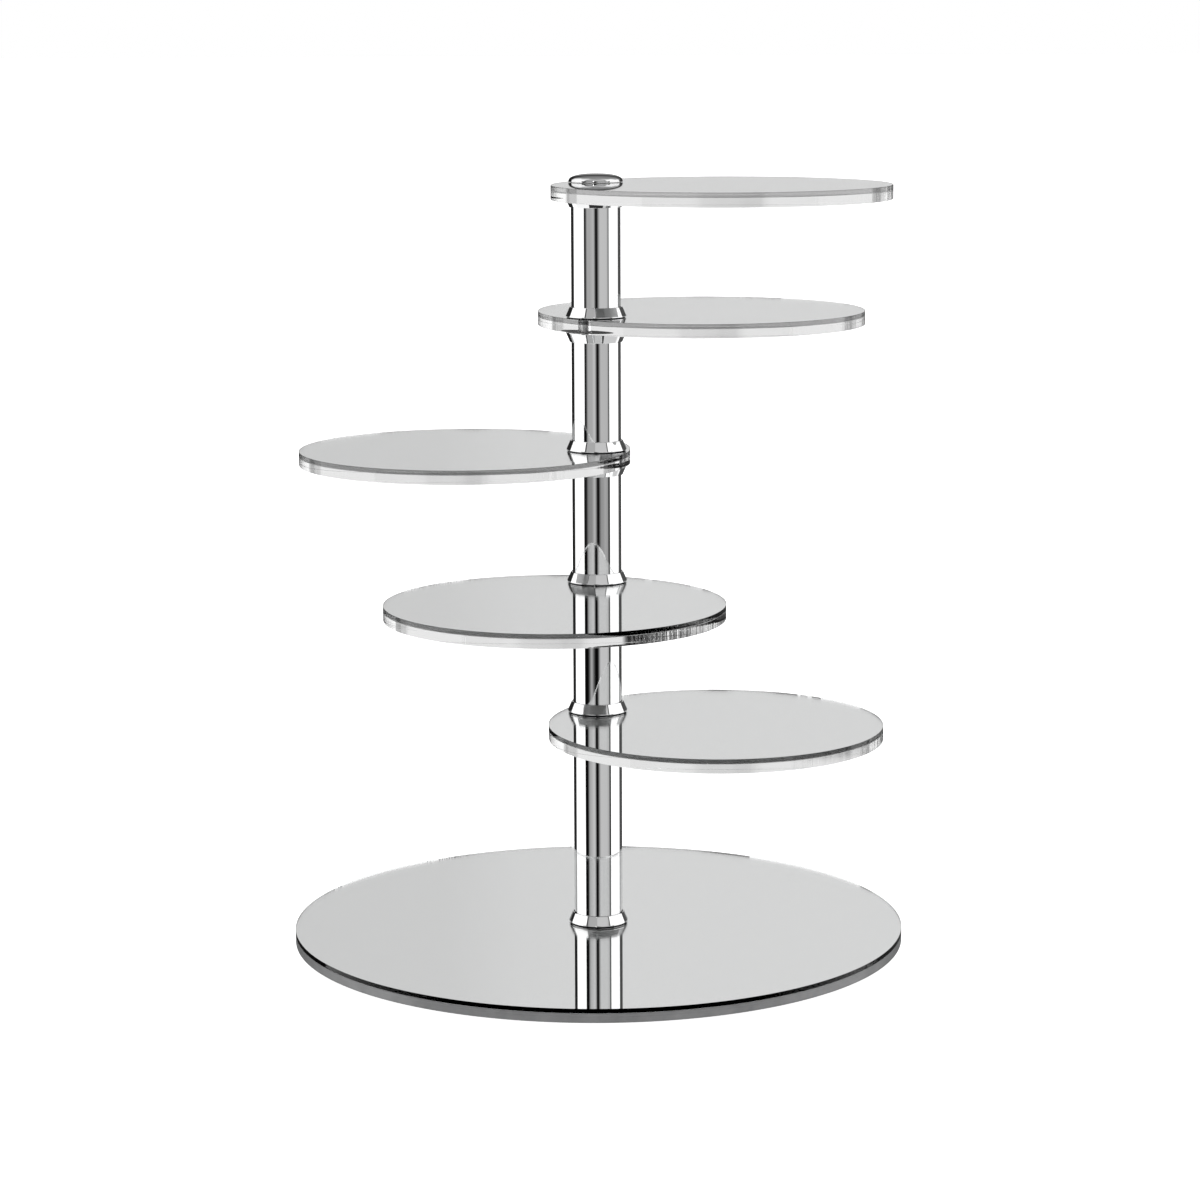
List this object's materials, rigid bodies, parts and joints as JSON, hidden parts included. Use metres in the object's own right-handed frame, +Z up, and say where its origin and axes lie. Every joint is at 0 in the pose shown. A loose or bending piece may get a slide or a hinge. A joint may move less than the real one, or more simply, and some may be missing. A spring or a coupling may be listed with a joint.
{
  "type": "tiered cake stand",
  "caption": "Tiered cake stand: round mirrored plates held off-centre by a central chrome column climb like a winding stair above a wide round mirrored base.",
  "frame": {"origin": "on the column's axis, at the underside of the feet", "axes": "+Z up the column, -Y towards the viewer, +X to the viewer's right"},
  "size_m": [0.4, 0.4, 0.503],
  "materials": {
    "chrome_tube": "polished",
    "chrome_collar": "polished",
    "chrome_knob": "polished",
    "mirror_acrylic": "polished",
    "clear_acrylic": "polished",
    "grey_board": "satin",
    "zinc_steel": "satin",
    "gasket_rubber": "matte",
    "white_nylon": "satin",
    "foot_rubber": "matte"
  },
  "bodies": {
    "stand": {"foot_1": "foot_rubber", "foot_2": "foot_rubber", "foot_3": "foot_rubber", "foot_4": "foot_rubber", "base_board": "grey_board", "base_mirror": "mirror_acrylic", "base_gasket": "gasket_rubber", "base_screw": "zinc_steel", "tube_1_bottom_collar": "chrome_collar", "tube_1_top_collar": "chrome_collar", "tube_1": "chrome_tube", "tube_2_bottom_collar": "chrome_collar", "tube_2_top_collar": "chrome_collar", "tube_2": "chrome_tube", "tube_3_bottom_collar": "chrome_collar", "tube_3_top_collar": "chrome_collar", "tube_3": "chrome_tube", "tube_4_bottom_collar": "chrome_collar", "tube_4_top_collar": "chrome_collar", "tube_4": "chrome_tube", "tube_5_bottom_collar": "chrome_collar", "tube_5_top_collar": "chrome_collar", "tube_5": "chrome_tube", "tier_1_lower_gasket": "gasket_rubber", "tier_1_upper_gasket": "gasket_rubber", "stud_1": "zinc_steel", "tier_2_lower_gasket": "gasket_rubber", "tier_2_upper_gasket": "gasket_rubber", "stud_2": "zinc_steel", "tier_3_lower_gasket": "gasket_rubber", "tier_3_upper_gasket": "gasket_rubber", "stud_3": "zinc_steel", "tier_4_lower_gasket": "gasket_rubber", "tier_4_upper_gasket": "gasket_rubber", "stud_4": "zinc_steel", "tier_5_lower_gasket": "gasket_rubber"},
    "tier_1": {"tier_1_acrylic": "clear_acrylic", "tier_1_mirror": "mirror_acrylic"},
    "tier_2": {"tier_2_acrylic": "clear_acrylic", "tier_2_mirror": "mirror_acrylic"},
    "tier_3": {"tier_3_acrylic": "clear_acrylic", "tier_3_mirror": "mirror_acrylic"},
    "tier_4": {"tier_4_acrylic": "clear_acrylic", "tier_4_mirror": "mirror_acrylic"},
    "tier_5": {"tier_5_acrylic": "clear_acrylic", "tier_5_mirror": "mirror_acrylic"},
    "washer": {"knob_washer": "white_nylon"},
    "knob": {"knob": "chrome_knob"}
  },
  "joints": [
    {"name": "tier_1_swivel", "type": "hinge", "parent": "stand", "child": "tier_1", "pos_m": [0, 0, 0.149], "axis": [0, 0, 1], "continuous": true},
    {"name": "tier_2_swivel", "type": "hinge", "parent": "stand", "child": "tier_2", "pos_m": [0, 0, 0.235], "axis": [0, 0, 1], "continuous": true},
    {"name": "tier_3_swivel", "type": "hinge", "parent": "stand", "child": "tier_3", "pos_m": [0, 0, 0.321], "axis": [0, 0, 1], "continuous": true},
    {"name": "tier_4_swivel", "type": "hinge", "parent": "stand", "child": "tier_4", "pos_m": [0, 0, 0.407], "axis": [0, 0, 1], "continuous": true},
    {"name": "tier_5_swivel", "type": "hinge", "parent": "stand", "child": "tier_5", "pos_m": [0, 0, 0.493], "axis": [0, 0, 1], "continuous": true},
    {"name": "knob_lift", "type": "slide", "parent": "stand", "child": "washer", "axis": [0, 0, 1], "range_m": [0, 0.0101]},
    {"name": "knob_turn", "type": "hinge", "parent": "washer", "child": "knob", "pos_m": [0, 0, 0.498], "axis": [0, 0, 1], "range_deg": [0, 2880]}
  ],
  "couplings": [
    {"joint": "knob_lift", "follows": "knob_turn", "m_per_rad": 0.00019894}
  ]
}
